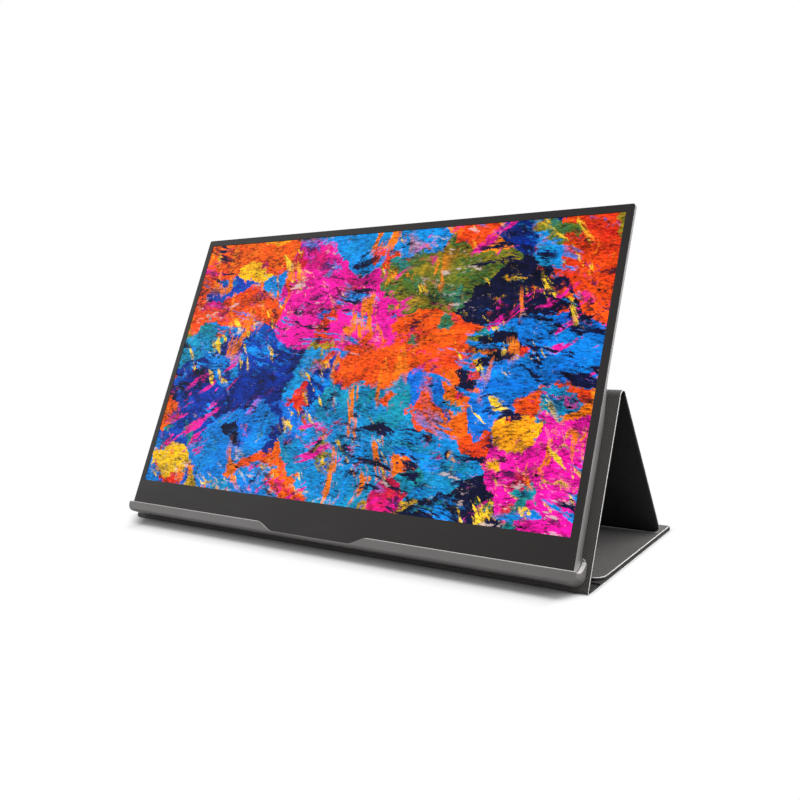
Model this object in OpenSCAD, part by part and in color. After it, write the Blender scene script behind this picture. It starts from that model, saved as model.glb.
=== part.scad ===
// Portable monitor standing in its folding cover. Millimetres, +X to the viewer's right, +Z up.
// The origin is the middle of the folded base's underside, on the table.

/* [Screen] */
// Width of the lit picture
active_w = 344.2; // [280:0.1:400]
// Height of the lit picture
active_h = 193.6; // [150:0.1:240]
// Black border at each side of the picture
side_border = 5.0; // [4.6:0.1:12]
// Black border above the picture
top_border = 5.3; // [4.8:0.1:12]
// Black border below the picture
bottom_border = 22.9; // [21:0.1:40]

/* [Housing] */
// Thickness of the lower hump, front face to back
body_t = 9.4; // [9.2:0.1:14]
// Thickness of the thin upper part
edge_t = 4.6; // [4.5:0.1:6]
// Height of the full-depth hump above the bottom edge
hump_h = 84; // [84:1:100]
// Height over which the hump fades into the thin part
hump_slope = 32; // [20:1:40]
// Bevel round the back edges
bevel = 1.6; // [1:0.1:1.8]
// Wall of the metal back shell
shell_wall = 1.0; // [0.8:0.1:1.2]
// Thickness of the front bezel
bezel_t = 0.8; // [0.6:0.1:1]
// Radius of the housing's four corners
body_corner_r = 1.5; // [1.2:0.1:6]

/* [Display stack] */
// Thickness of the liquid crystal glass
cell_t = 0.9; // [0.6:0.1:1]
// Thickness of the diffuser and prism films
films_t = 0.35; // [0.2:0.05:0.4]
// Thickness of the light guide
guide_t = 0.8; // [0.5:0.1:0.8]
// Sheet metal of the tray behind the display
metal_t = 0.3; // [0.2:0.05:0.35]
// Depth of the picture below the bezel's face
picture_recess = 0.4; // [0.1:0.1:0.6]

/* [Ports and keys] */
// Height of the ports' centre line above the back face
port_z = 3.9; // [3.8:0.05:3.9]
// Distance of the headphone socket from the bottom edge
jack_y = 19; // [17:0.5:20]
// Bore of the headphone socket
jack_bore_r = 1.8; // [1.76:0.01:1.85]
// Distance of the small display socket from the bottom edge
hdmi_y = 31; // [30:0.5:32]
// Distance of the first charging socket from the bottom edge
usb_y = 43.5; // [43:0.5:44]
// Spacing of the two charging sockets
usb_pitch = 11; // [10.6:0.1:11.5]
// Length of the menu rocker
rocker_l = 12.6; // [10:0.1:13]
// Tilt of the menu rocker each way
rocker_tilt = 4; // [2:0.5:4]
// Length of the power key
power_l = 7; // [5:0.1:7]
// Travel of the power key
power_travel = 0.5; // [0.2:0.05:0.5]

/* [Cover] */
// Width of the cover beyond the housing, each side
side_overhang = 5.3; // [4:0.1:9]
// Thickness of the outer leather skin
skin_t = 0.5; // [0.4:0.1:0.8]
// Thickness of the stiffener boards
board_t = 0.8; // [0.8:0.1:1.5]
// Thickness of the twill lining
lining_t = 0.5; // [0.4:0.1:0.8]
// Air between flaps that are folded flat
flap_gap = 0.1; // [0.1:0.1:0.5]
// Lean of the screen from upright
stand_tilt = 27; // [20:1:33]
// Height of the panel behind the lower half of the housing
rear_panel_h = 109.5; // [90:0.1:112]
// Height of the strut panel
strut_h = 111.4; // [100:0.1:118]
// Depth of the lower base flap
lower_flap_h = 115.6; // [105:0.1:130]
// Depth of the upper base flap
upper_flap_h = 113.4; // [100:0.1:114]
// Outer radius of the fold under the screen
base_fold_r = 1.85; // [1.85:0.05:4]
// Outer radius of the fold at the top of the strut
ridge_fold_r = 4.7; // [3:0.1:6]
// Flat length of the fold between spine and lower flap
spine_fold_l = 4.0; // [3:0.1:6]
// Corner radius at the upper flap's free edge
flap_corner_r = 8; // [3:0.5:15]
// Corner radius at the strut's foot
strut_corner_r = 5; // [3:0.5:12]

/* [Cradle tray] */
// Wall of the tray's floor
tray_floor_t = 1.5; // [1.2:0.05:2.2]
// Wall behind the housing
tray_back_t = 1.7; // [1.2:0.1:2.4]
// Thickness of the front lip
lip_t = 1.3; // [1:0.1:2]
// Height of the lip over the tray's underside
lip_h = 7.2; // [6:0.1:14]
// Height of the back wall over the tray's underside
tray_back_h = 15.9; // [12:0.1:24]
// Thickness of the tray's end walls
tray_end_t = 2.35; // [1.6:0.05:3.5]
// Width of the notch in the lip, at half its depth
notch_w = 77.5; // [40:0.5:120]
// Height of the lip that the notch leaves over the underside
notch_floor_h = 1.95; // [1.7:0.05:5]
// Shift of the notch's middle from the tray's middle
notch_x = -3; // [-10:0.5:10]
// Width of each of the notch's S-shaped ends
notch_ease = 15; // [8:0.5:24]

/* [Hidden] */

// Clearances
fit = 0.1;          // between parts that drop into each other
slip = 0.15;        // between the housing and its tray
foot_gap = 0.1;     // under the strut's foot
over = 1;           // how far a cutter runs past a face
$fn = 48;

// Housing, in its own frame: X across, Y up from the bottom edge, Z forward from the hump's back
body_w = active_w + 2 * side_border;
body_h = active_h + top_border + bottom_border;
half_w = body_w / 2;
step_z = body_t - edge_t;
bottom_chamfer = 0.8;
shell_top = body_t - bezel_t;
offset_k = sqrt(2) - 1;          // how far a 45 degree bevel's ends shift for an inset of 1

// Display stack, from the bezel backwards
tape_t = 0.15;
cell_z = shell_top - tape_t - cell_t;
films_z = cell_z - films_t;
guide_z = films_z - guide_t;
metal_z = guide_z - metal_t;
skirt_t = 0.7;
skirt_h = 1.2;
skirt_inset = shell_wall + fit;
stack_w = body_w - 2 * (skirt_inset + skirt_t + fit);
stack_rim = 3.4;                 // display glass beyond the picture at the top
stack_foot = 12.2;               // display module beyond the picture at the bottom
stack_y = bottom_border - stack_foot;
stack_h = active_h + stack_foot + stack_rim;
metal_rim = 0.4;
led_h = 3.5;

// Main board and its seats on the shell
board_x = -half_w + 3.2;
main_w = 84;
main_y = 12;
main_h = 47;
main_t = 1.0;
boss_h = 1.2;
boss_r = 2.4;
main_z = shell_wall + boss_h;
screw_r = 0.75;
screw_head_r = 1.4;
screw_head_h = 0.6;
boss_inset = 4;
boss_deep = 0.4;                 // how far the screw holes reach into the wall
boss_spots = [for (x = [board_x + 15, board_x + main_w - boss_inset],
                   y = [main_y + boss_inset, main_y + main_h - boss_inset]) [x, y]];

// Port strip in the left side
strip_y0 = 13.5;
strip_y1 = hump_h - 1.5;
strip_z0 = bevel + 0.15;
strip_z1 = strip_z0 + 4.9;
flange = 0.9;
flange_t = 0.6;
flange_z0 = bevel + offset_k * shell_wall + fit;
flange_z1 = shell_top - skirt_h - fit;
usb_w = 8.94;
usb_h = 3.2;
usb_l = 7.35;
usb_wall = 0.3;
hdmi_w = 10.8;
hdmi_h = 3.1;
hdmi_l = 7.5;
jack_w = 6.4;
jack_h = 4.1;
jack_l = 12;
socket_gap = 0.15;
rocker_y = usb_y + usb_pitch + 12;
power_y = rocker_y + rocker_l / 2 + power_l / 2 + 1.6;
key_h = 2.3;
key_clear = 0.3;
key_proud = 0.6;
pivot_r = 0.6;
pivot_clear = 0.05;
pivot_x = -half_w + 2.35;
pivot_half = 2.05;
ear_t = 0.8;
key_rear_x = -half_w + 3.0;
key_board_x = -half_w + 6.1;
key_board_t = 0.8;
switch_x = key_rear_x + power_travel + 0.1;

// Speakers
speaker_w = 44;
speaker_h = 15;
speaker_t = 4.4;
speaker_x = half_w - 39;
speaker_y = hump_h - 3 - speaker_h;
slot_w = 1.4;
slot_h = 12;
slot_pitch = 3;
slot_count = 9;

// Cover: a panel's own frame has Z = 0 on the lining's face and the skin's face at -panel_t
panel_t = skin_t + board_t + lining_t;
strap_t = skin_t + lining_t;     // leather and lining with no board, at the folds
cover_w = body_w + 2 * side_overhang;
wrap_t = skin_t;                 // skin turned up round a board's edges
fold_edge_r = 0.6;
stack_mid_z = panel_t + flap_gap / 2;
base_top = 2 * panel_t + flap_gap;

// Fold under the screen: an arc tangent to the table and to the rear panel's face
lean = 90 - stand_tilt;
base_fold_turn = 180 - lean;
base_tangent = round(1000 * base_fold_r * tan(base_fold_turn / 2)) / 1000;
base_fold_l = (base_fold_r - strap_t / 2) * base_fold_turn * PI / 180;
closed_fold_r = base_fold_l / (PI / 2) - strap_t / 2;
pole_reach = (base_tangent - closed_fold_r) / (cos(lean / 2) + sin(lean / 2));
pole_y = pole_reach * cos(lean / 2);     // cover hinge line, from the corner of the two faces
pole_z = pole_reach * sin(lean / 2);

// Rear panel and tray, from the corner of the two faces
rear_panel_top = base_tangent + rear_panel_h;
adhesive_t = 0.3;
tray_under_v = 3.7;
seat_v = tray_under_v + tray_floor_t + 0.2;
seat_n = adhesive_t + tray_back_t + fit;
front_n = seat_n + body_t;
lip_inner_n = front_n + fit;
lip_outer_n = lip_inner_n + lip_t;
tray_half = half_w + slip + tray_end_t;
tray_edge_r = 1.8;               // tray's lower front edge
tray_end_r = 6;                  // tray's lower corners, seen from the front
ear_r = 4;                       // tray's back wall, upper corners
lip_end_r = 1.5;
closing_gap = 0.6;               // front flaps over the lip when shut

// Strut: hangs from the ridge fold and stands on the upper flap
ridge_z = rear_panel_top * sin(lean) - ridge_fold_r * cos(lean);
ridge_y = rear_panel_top * cos(lean) + ridge_fold_r * sin(lean);
foot_drop = ridge_z - base_top - foot_gap;
foot_reach = sqrt(pow(strut_h, 2) + pow(ridge_fold_r - panel_t, 2));
strut_lean = acos(foot_drop / foot_reach) - atan((ridge_fold_r - panel_t) / strut_h);
foot_y = ridge_y + (ridge_fold_r - panel_t) * cos(strut_lean) + strut_h * sin(strut_lean);
magnet_l = 30;
magnet_h = 8;
magnet_inset = 5;
magnet_pitch = 80;
magnet_xs = [for (i = [-1.5:1:1.5]) i * magnet_pitch];
plate_l = cover_w - 40;
plate_h = 14;

// Spine: long enough to bring the shut front flaps over the lip
spine_axis_z = strap_t / 2 - spine_fold_l * (2 / PI - 1 / 2);
closed_n = lip_outer_n + closing_gap;
spine_axis_y = round(1000 * (closed_n + spine_axis_z + pole_z + pole_y)) / 1000;
spine_y0 = base_tangent;
spine_y1 = spine_axis_y - spine_fold_l / 2;
lower_y0 = spine_axis_y + spine_fold_l / 2;
foot_seat = plate_h / 2 + wrap_t + fit;      // base behind the middle of the foot's plate
lower_y1 = max(lower_y0 + lower_flap_h, ceil(10 * (foot_y + foot_seat)) / 10);
upper_y1 = lower_y1;
upper_y0 = upper_y1 - upper_flap_h;
fold_y = -(lower_y0 + lower_y1) / 2;     // corner of the two faces, seen from the origin

bezel_black = "#35302f";
glass_black = "#101114";
shell_silver = "#b9bbbe";
board_green = "#1f5a3c";
chip_black = "#22242a";
metal_grey = "#a9abad";
tray_grey = "#77746f";
leather_black = "#2b2727";
lining_grey = "#4b4746";
card_grey = "#8d8b86";
foam_black = "#1c1c1e";

// ---- frames and shapes ----

// Draws a side outline (Y, Z) as a bar along X
module along_x(length, x = 0)
    translate([x, 0, 0]) rotate([90, 0, 90]) linear_extrude(length, center = true) children();

// From the corner of the two faces: X across, Y up the rear panel, Z out of its lining
module leaning() translate([0, fold_y, 0]) rotate([lean, 0, 0]) children();

module in_housing() leaning() translate([0, seat_v, seat_n]) children();

// Along the base, from the corner of the two faces, lining down on the table
module lining_down() translate([0, fold_y, 0]) mirror([0, 0, 1]) children();

module lining_up() translate([0, fold_y, base_top]) children();

// From the ridge: Y down the strut, Z out of its lining
module along_strut()
    translate([0, fold_y + ridge_y, ridge_z]) rotate([strut_lean - 90, 0, 0])
        translate([0, 0, ridge_fold_r]) children();

// Rectangle centred on X between two heights, with its own corner radius at each end
module plate_outline(w, y0, y1, r0, r1) {
    for (side = [-1, 1]) {
        translate([side * (w / 2 - r0), y0 + r0]) circle(r0);
        translate([side * (w / 2 - r1), y1 - r1]) circle(r1);
    }
    translate([-w / 2, y0 + r0]) square([w, y1 - y0 - r0 - r1]);
    translate([-w / 2 + r0, y0]) square([w - 2 * r0, r0]);
    translate([-w / 2 + r1, y1 - r1]) square([w - 2 * r1, r1]);
}

module slab(z0, z1) translate([0, 0, z0]) linear_extrude(z1 - z0) children();

// Ring sector about the origin, from angle a0 to angle a1
module ring_sector(r_in, r_out, a0, a1) intersection() {
    difference() {
        circle(r_out);
        circle(r_in);
    }
    polygon(concat([[0, 0]], [for (i = [0:4]) let (a = a0 + (a1 - a0) * i / 4)
        2 * r_out * [cos(a), sin(a)]]));
}

function ease(u) = u * u * (3 - 2 * u);

// ---- housing ----

function back_z(y) = step_z * ease(max(0, min(1, (y - hump_h) / hump_slope)));

// Heights at which the back's outline bends
slope_steps = 10;
bend_ys = concat([-over], [for (i = [0:slope_steps]) hump_h + hump_slope * i / slope_steps]);

// The housing's side outline with its bottom chamfer and top bevel, shrunk by inset
module body_side(inset, top) {
    c = bottom_chamfer + offset_k * inset;
    b = bevel + offset_k * inset;
    polygon(concat([[inset - over, top], [inset - over, c + over], [c, inset]],
        [for (i = [1:slope_steps + 1]) [bend_ys[i], back_z(bend_ys[i]) + inset]],
        [[body_h - b, step_z + inset], [body_h - inset + over, step_z + b + over],
            [body_h - inset + over, top]]));
}

// Everything inside one side's 45 degree bevel, which follows the back's outline
module bevel_side(side, inset) {
    shift = inset - (half_w - bevel - offset_k * inset);
    rotate([0, -45 * side, 0]) along_x(2 * body_w)
        polygon(concat([for (y = bend_ys) [y, (back_z(y) + shift) / sqrt(2)]],
            [[body_h + over, (step_z + shift) / sqrt(2)], [body_h + over, body_w],
                [-over, body_w]]));
}

module body_form(inset, top) {
    r = max(0.3, body_corner_r - inset);
    intersection() {
        slab(-over, top)
            plate_outline(body_w - 2 * inset, inset, body_h - inset, r, r);
        along_x(body_w + 2 * over) body_side(inset, top + over);
        bevel_side(1, inset);
        bevel_side(-1, inset);
    }
}

module at_left(y, z = port_z) translate([-half_w, y, z]) rotate([0, 90, 0]) children();

module speaker_slots(side)
    for (i = [0:slot_count - 1])
        translate([side * speaker_x + (i - (slot_count - 1) / 2) * slot_pitch - slot_w / 2,
            hump_h + 6, -over])
            cube([slot_w, slot_h, body_t - 3]);

module back_shell() color(shell_silver) in_housing() {
    difference() {
        body_form(0, shell_top);
        body_form(shell_wall, body_t + over);
        translate([-half_w - over, strip_y0, strip_z0])
            cube([shell_wall + 2 * over, strip_y1 - strip_y0, strip_z1 - strip_z0]);
        for (side = [-1, 1]) speaker_slots(side);
        boss_holes();
    }
    difference() {
        for (p = boss_spots) translate([p[0], p[1], shell_wall]) cylinder(boss_h, boss_r, boss_r);
        boss_holes();
    }
}

module boss_holes()
    for (p = boss_spots) translate([p[0], p[1], shell_wall - boss_deep])
        cylinder(boss_h + boss_deep + over, screw_r + pivot_clear, screw_r + pivot_clear);

module front_bezel() color(bezel_black) in_housing() {
    edge = 0.25;
    difference() {
        hull() {
            slab(shell_top, body_t - edge)
                plate_outline(body_w, 0, body_h, body_corner_r, body_corner_r, $fn = 32);
            slab(shell_top, body_t) plate_outline(body_w - 2 * edge, edge, body_h - edge,
                body_corner_r - edge, body_corner_r - edge, $fn = 32);
        }
        translate([0, 0, shell_top - over]) picture_block(fit, bezel_t + 2 * over);
    }
    slab(shell_top - skirt_h, shell_top) difference() {
        bezel_skirt(skirt_inset);
        bezel_skirt(skirt_inset + skirt_t);
    }
}

module bezel_skirt(inset)
    translate([-half_w + inset, inset]) square([body_w - 2 * inset, body_h - 2 * inset]);

// The picture's own rectangle, grown by grow
module picture_block(grow, depth)
    translate([-active_w / 2 - grow, bottom_border - grow, 0])
        cube([active_w + 2 * grow, active_h + 2 * grow, depth]);

// ---- display stack ----

module stack_sheet(z, t, inset = 0, bottom = 0)
    translate([-stack_w / 2 + inset, stack_y + inset + bottom, z])
        cube([stack_w - 2 * inset, stack_h - 2 * inset - bottom, t]);

module bezel_tape() color(foam_black) in_housing() difference() {
    stack_sheet(shell_top - tape_t, tape_t, fit);
    translate([0, 0, shell_top - tape_t - over]) picture_block(fit, tape_t + 2 * over);
}

module display_film() color(glass_black) in_housing()
    translate([0, 0, cell_z + cell_t]) picture_block(0, tape_t + bezel_t - picture_recess);

module lcd_cell() color(glass_black) in_housing() stack_sheet(cell_z, cell_t, fit);

module film_stack() color("white") in_housing()
    stack_sheet(films_z, films_t, metal_rim + fit, led_h);

module light_guide() color("#dfe8ee") in_housing()
    stack_sheet(guide_z, guide_t, metal_rim + fit, led_h);

module led_bar() color("#e9e3c8") in_housing() {
    bar = [stack_w - 2 * (metal_rim + fit), 0.6, guide_t + films_t / 2];
    lamp = [2.6, led_h - bar[1] - 3 * fit, guide_t * 0.75];
    count = 36;
    translate([-bar[0] / 2, stack_y + metal_rim + fit, guide_z]) cube(bar);
    for (i = [0:count - 1])
        translate([(i - (count - 1) / 2) * bar[0] / count - lamp[0] / 2,
            stack_y + metal_rim + fit + bar[1], guide_z]) cube(lamp);
}

module lcd_tray() color(metal_grey) in_housing() difference() {
    stack_sheet(metal_z, cell_z - metal_z);
    stack_sheet(guide_z, cell_z, metal_rim);
}

driver_w = active_w * 0.8;
driver_t = 0.6;
driver_z = shell_top - fit - driver_t;
chip_w = 6;
chip_t = 0.7;
chip_count = 7;
chip_xs = [for (i = [0:chip_count - 1]) (i - (chip_count - 1) / 2) * driver_w / chip_count];

module driver_board() color(board_green) in_housing() {
    y = 3.2;
    translate([-driver_w / 2, y, driver_z]) cube([driver_w, 7, driver_t]);
    for (x = chip_xs)
        translate([x - chip_w / 2, y + 1.5, driver_z - chip_t]) cube([chip_w, 3.5, chip_t]);
}

// Flat cable from the driver board down the hump and up to the main board
module panel_ribbon() color("#c98b3a") in_housing() {
    w = 22;
    t = 0.25;
    x = board_x + main_w - w;
    meets = [for (c = chip_xs) if (abs(c - x) < (chip_w + w) / 2) c];
    z_top = driver_z - (len(meets) > 0 ? chip_t : 0) - fit - t;
    z_low = main_z + main_t + 1.2;
    y_front = shell_wall + 3;
    y_end = main_y + 9;
    along_x(w, x) polygon([[y_front, z_top + t], [y_front, z_top], [y_front + 2, z_top],
        [y_front + 4, z_low + t], [y_front + 4.4, z_low], [y_end, z_low],
        [y_end, z_low + t], [y_front + 4.9, z_low + t], [y_front + 2.6, z_top + t]]);
    translate([x - w / 2, y_end - 4, main_z + main_t]) cube([w, 4, 1.2]);
}

module board_outline() difference() {
    translate([board_x, main_y]) square([main_w, main_h]);
    for (y = [usb_y, usb_y + usb_pitch]) board_bay(y, usb_w, usb_l);
    board_bay(hdmi_y, hdmi_w, hdmi_l);
    board_bay(jack_y, jack_w, jack_l);
    for (p = boss_spots) translate(p) circle(screw_r + pivot_clear * 3);
}

// Bay in the board's edge that a socket sinks into
module board_bay(y, w, l)
    translate([board_x - over, y - w / 2 - socket_gap])
        square([socket_x + l + socket_gap - board_x + over, w + 2 * socket_gap]);

socket_x = -half_w + shell_wall + flange_t + 0.1;

module main_board() color(board_green) in_housing()
    slab(main_z, main_z + main_t) board_outline();

module main_chips() color(chip_black) in_housing() {
    top = main_z + main_t;
    // X and Y from the board's corner, then width, height and thickness
    parts = [[24, 20, 14, 14, 1.2], [44, 24, 9, 7, 1.0], [44, 36, 7, 7, 0.9],
        [58, 20, 10, 5, 1.0], [58, 32, 6, 6, 1.8], [67, 32, 6, 6, 1.8], [24, 40, 12, 5, 0.9]];
    for (c = parts) translate([board_x + c[0], main_y + c[1], top]) cube([c[2], c[3], c[4]]);
}

module board_screws() color(metal_grey) in_housing()
    for (p = boss_spots) translate([p[0], p[1], 0]) {
        translate([0, 0, main_z + main_t]) cylinder(screw_head_h, screw_head_r, screw_head_r);
        translate([0, 0, shell_wall - boss_deep + fit])
            cylinder(boss_h + boss_deep + main_t, screw_r, screw_r);
    }

module heat_pad() color("#b7a7c9") in_housing()
    translate([board_x + 25, main_y + 21, shell_wall]) cube([12, 12, boss_h]);

module insulating_sheet() color("#24262b") in_housing()
    translate([board_x + 12, main_y + 4, metal_z - 0.25]) cube([main_w - 12, main_h - 2, 0.2]);

// ---- ports and keys in the left side ----

module stadium(w, h) {
    r = h / 2;
    for (s = [-1, 1]) translate([0, s * (w / 2 - r)]) circle(r);
    square([h, w - h], center = true);
}

module usb_c_ports() color(metal_grey) in_housing()
    for (y = [usb_y, usb_y + usb_pitch]) translate([socket_x + half_w, 0, 0]) at_left(y) {
        slab(0, usb_l) difference() {
            stadium(usb_w, usb_h);
            stadium(usb_w - 2 * usb_wall, usb_h - 2 * usb_wall);
        }
        slab(usb_l - 1, usb_l) stadium(usb_w - usb_wall, usb_h - usb_wall);
        slab(1.2, usb_l) square([0.7, 6.2], center = true);
    }

// Outline of the small display socket: a rectangle with its lower corners cut off
module hdmi_outline(inset) {
    w = hdmi_w / 2 - inset;
    h = hdmi_h / 2 - inset;
    c = 1.1;
    polygon([[-h, w], [-h, -w], [h - c, -w], [h, -w + c], [h, w - c], [h - c, w]]);
}

module mini_hdmi_port() color(metal_grey) in_housing()
    translate([socket_x + half_w, 0, 0]) at_left(hdmi_y) {
        slab(0, hdmi_l) difference() {
            hdmi_outline(0);
            hdmi_outline(usb_wall);
        }
        slab(hdmi_l - 1, hdmi_l) hdmi_outline(usb_wall / 2);
        slab(1.2, hdmi_l) translate([-0.1, 0]) square([0.8, 7.6], center = true);
    }

module audio_jack() color(chip_black) in_housing()
    translate([socket_x + half_w, 0, 0]) at_left(jack_y) difference() {
        translate([-jack_h / 2, -jack_w / 2, 0]) cube([jack_h, jack_w, jack_l]);
        translate([0, 0, -over]) cylinder(jack_l + 2 * over, jack_bore_r, jack_bore_r);
    }

// Plastic insert that carries the sockets' windows and the keys' slots
module port_strip() color(bezel_black) in_housing() {
    difference() {
        union() {
            translate([-half_w, strip_y0 + fit, strip_z0 + fit])
                cube([shell_wall + flange_t / 2, strip_y1 - strip_y0 - 2 * fit,
                    strip_z1 - strip_z0 - 2 * fit]);
            translate([-half_w + shell_wall, strip_y0 - flange, flange_z0])
                cube([flange_t, strip_y1 - strip_y0 + 2 * flange, flange_z1 - flange_z0]);
        }
        for (y = [usb_y, usb_y + usb_pitch]) strip_cut(y) stadium(usb_w, usb_h);
        strip_cut(hdmi_y) hdmi_outline(0);
        strip_cut(jack_y) circle(jack_bore_r + pivot_clear);
        key_slot(rocker_y, rocker_l);
        key_slot(power_y, power_l);
    }
    rocker_ears();
}

module strip_cut(y) at_left(y) slab(-over, shell_wall + flange_t + over) children();

module key_slot(y, l)
    strip_cut(y) square([key_h + 2 * key_clear, l + 2 * key_clear], center = true);

// Two ears behind the strip that hold the rocker's pivot
module rocker_ears()
    for (side = [-1, 1]) difference() {
        translate([-half_w + shell_wall + flange_t / 2, rocker_y - 1.5,
            port_z + side * (pivot_half - ear_t / 2) - ear_t / 2])
            cube([2.3, 3, ear_t]);
        translate([pivot_x, rocker_y, port_z - body_t]) cylinder(2 * body_t,
            pivot_r + pivot_clear, pivot_r + pivot_clear);
    }

module menu_rocker() color(chip_black) in_housing() {
    proud_x = -half_w - key_proud;
    // The rocker's face is crowned, so that it rolls under a fingertip
    slab(port_z - key_h / 2, port_z + key_h / 2) intersection() {
        translate([proud_x, rocker_y - rocker_l / 2])
            square([key_rear_x - proud_x, rocker_l]);
        translate([proud_x + 36, rocker_y]) circle(36, $fn = 120);
    }
    translate([pivot_x, rocker_y, port_z - pivot_half])
        cylinder(2 * pivot_half, pivot_r, pivot_r);
}

module power_key() color(chip_black) in_housing() {
    at_left(power_y) {
        slab(-key_proud, key_rear_x + half_w)
            plate_outline_turned(key_h, power_l, 0.6);
        // A wider foot behind the strip keeps the key in
        slab(shell_wall + flange_t + fit, shell_wall + flange_t + fit + 0.6)
            square([key_h + 1.2, power_l + 1.6], center = true);
    }
}

// Rounded bar: h along the housing's depth, l along its side
module plate_outline_turned(h, l, r) {
    square([h - 2 * r, l], center = true);
    square([h, l - 2 * r], center = true);
    for (a = [-1, 1], b = [-1, 1]) translate([a * (h / 2 - r), b * (l / 2 - r)]) circle(r);
}

module key_board() color(board_green) in_housing() {
    y0 = rocker_y - rocker_l / 2;
    y1 = power_y + power_l / 2;
    foot = shell_wall + fit;
    translate([key_board_x, y0, foot]) cube([key_board_t, y1 - y0, metal_z - fit - foot]);
    for (y = [rocker_y - rocker_l / 3, rocker_y + rocker_l / 3, power_y])
        translate([switch_x, y - 1.5, port_z - 1]) cube([key_board_x - switch_x, 3, 2]);
}

// ---- speakers ----

module speaker(side) in_housing() translate([side * speaker_x, speaker_y, shell_wall + fit]) {
    difference() {
        translate([-speaker_w / 2, 0, 0]) cube([speaker_w, speaker_h, speaker_t]);
        // The cone sits in a dished opening that faces the slots
        translate([0, speaker_h / 2, speaker_t]) rotate_extrude()
            polygon([[0, -1.6], [3, -1.6], [6, -0.5], [6, 1], [0, 1]]);
    }
    translate([0, speaker_h / 2, speaker_t - 1.6]) cylinder(0.8, 2.2, 2.2);
}

module speaker_left() color(chip_black) speaker(-1);

module speaker_right() color(chip_black) speaker(1);

// ---- cradle tray and what bonds it ----

module mounting_pads() color(foam_black) leaning() {
    count = 3;
    pad_h = 12;
    low = tray_under_v + tray_back_h + 6;
    high = seat_v + hump_h - 6 - pad_h;
    for (i = [0:count - 1])
        translate([-half_w + 24, low + (high - low) * i / (count - 1), 0])
            cube([body_w - 48, pad_h, seat_n]);
}

module tray_adhesive() color(foam_black) leaning()
    translate([-half_w + 6, tray_under_v + 1, 0])
        cube([body_w - 12, tray_back_h - 3, adhesive_t]);

// Side outline of the channel: back wall, floor and lip, with a round lower front edge
module tray_channel() {
    floor_v = tray_under_v + tray_floor_t;
    lip_top = tray_under_v + lip_h;
    back_top = tray_under_v + tray_back_h;
    inner_r = 0.6;
    difference() {
        tray_side(back_top, lip_top);
        translate([floor_v + inner_r, adhesive_t + tray_back_t])
            square([back_top, lip_inner_n - adhesive_t - tray_back_t]);
        translate([floor_v, adhesive_t + tray_back_t + inner_r])
            square([inner_r + over, lip_inner_n - adhesive_t - tray_back_t - 2 * inner_r]);
        for (n = [adhesive_t + tray_back_t + inner_r, lip_inner_n - inner_r])
            translate([floor_v + inner_r, n]) circle(inner_r);
    }
}

// Solid side outline; the ends keep it whole, and its rim sweeps from the lip up to the back wall
module tray_side(back_top, lip_top) {
    lip_r = lip_t / 2;
    difference() {
        union() {
            translate([tray_under_v, adhesive_t])
                square([back_top - tray_under_v, tray_back_t]);
            translate([tray_under_v, adhesive_t])
                square([lip_top - lip_r - tray_under_v, lip_outer_n - adhesive_t]);
            translate([lip_top - lip_r, lip_outer_n - lip_r]) circle(lip_r);
        }
        difference() {
            translate([tray_under_v - over, lip_outer_n - tray_edge_r])
                square([tray_edge_r + over, tray_edge_r + over]);
            translate([tray_under_v + tray_edge_r, lip_outer_n - tray_edge_r])
                circle(tray_edge_r);
        }
    }
}

module end_wall_side() {
    steps = 12;
    lip_top = tray_under_v + lip_h;
    rise = tray_back_h - lip_h - ear_r / 2;
    n0 = adhesive_t + tray_back_t;
    n1 = lip_inner_n;
    tray_side(lip_top, lip_top);
    polygon(concat([[tray_under_v + tray_edge_r, n1], [tray_under_v + tray_edge_r, adhesive_t],
        [lip_top + rise, adhesive_t]],
        [for (i = [0:steps]) let (u = i / steps)
            [lip_top - lip_t / 2 + (rise + lip_t / 2) * pow(1 - u, 3), n0 + (n1 - n0) * u]]));
}

// The tray's outline from the front: round lower corners and round ears
module tray_front() plate_outline(2 * tray_half, tray_under_v, tray_under_v + tray_back_h,
    tray_end_r, ear_r);

// The notch's outline from the front, with an S-shaped ease at each end
module notch_outline() {
    steps = 16;
    low = tray_under_v + notch_floor_h;
    high = tray_under_v + lip_h;
    side = [for (i = [0:steps]) let (u = i / steps)
        [notch_w / 2 - notch_ease / 2 + notch_ease * u, low + (high - low) * ease(u)]];
    left = [for (i = [steps:-1:0]) [-side[i][0], side[i][1]]];
    polygon(concat([[-notch_w / 2 - notch_ease / 2, high + over]], left, side,
        [[notch_w / 2 + notch_ease / 2, high + over]]));
}

module cradle_tray() color(tray_grey) leaning() difference() {
    intersection() {
        union() {
            along_x(2 * tray_half) tray_channel();
            for (side = [-1, 1])
                along_x(tray_end_t, side * (tray_half - tray_end_t / 2)) end_wall_side();
        }
        slab(0, lip_outer_n + over) tray_front();
    }
    slab(lip_inner_n - fit, lip_outer_n + over) translate([notch_x, 0]) notch_outline();
    // Round the lip's upper ends
    for (side = [-1, 1]) slab(lip_inner_n - over, lip_outer_n + over)
        difference() {
            translate([side * (tray_half - lip_end_r) - (side < 0 ? lip_end_r + over : 0),
                tray_under_v + lip_h - lip_end_r]) square([lip_end_r + over, lip_end_r + over]);
            translate([side * (tray_half - lip_end_r), tray_under_v + lip_h - lip_end_r])
                circle(lip_end_r);
        }
}

// ---- cover panels ----

module panel_skin(y0, y1, r0, r1) color(leather_black) difference() {
    slab(-panel_t, -lining_t) plate_outline(cover_w, y0, y1, r0, r1);
    board_slab(y0, y1, r0, r1, over);
}

module panel_board(y0, y1, r0, r1) color(card_grey) board_slab(y0, y1, r0, r1, 0);

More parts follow.
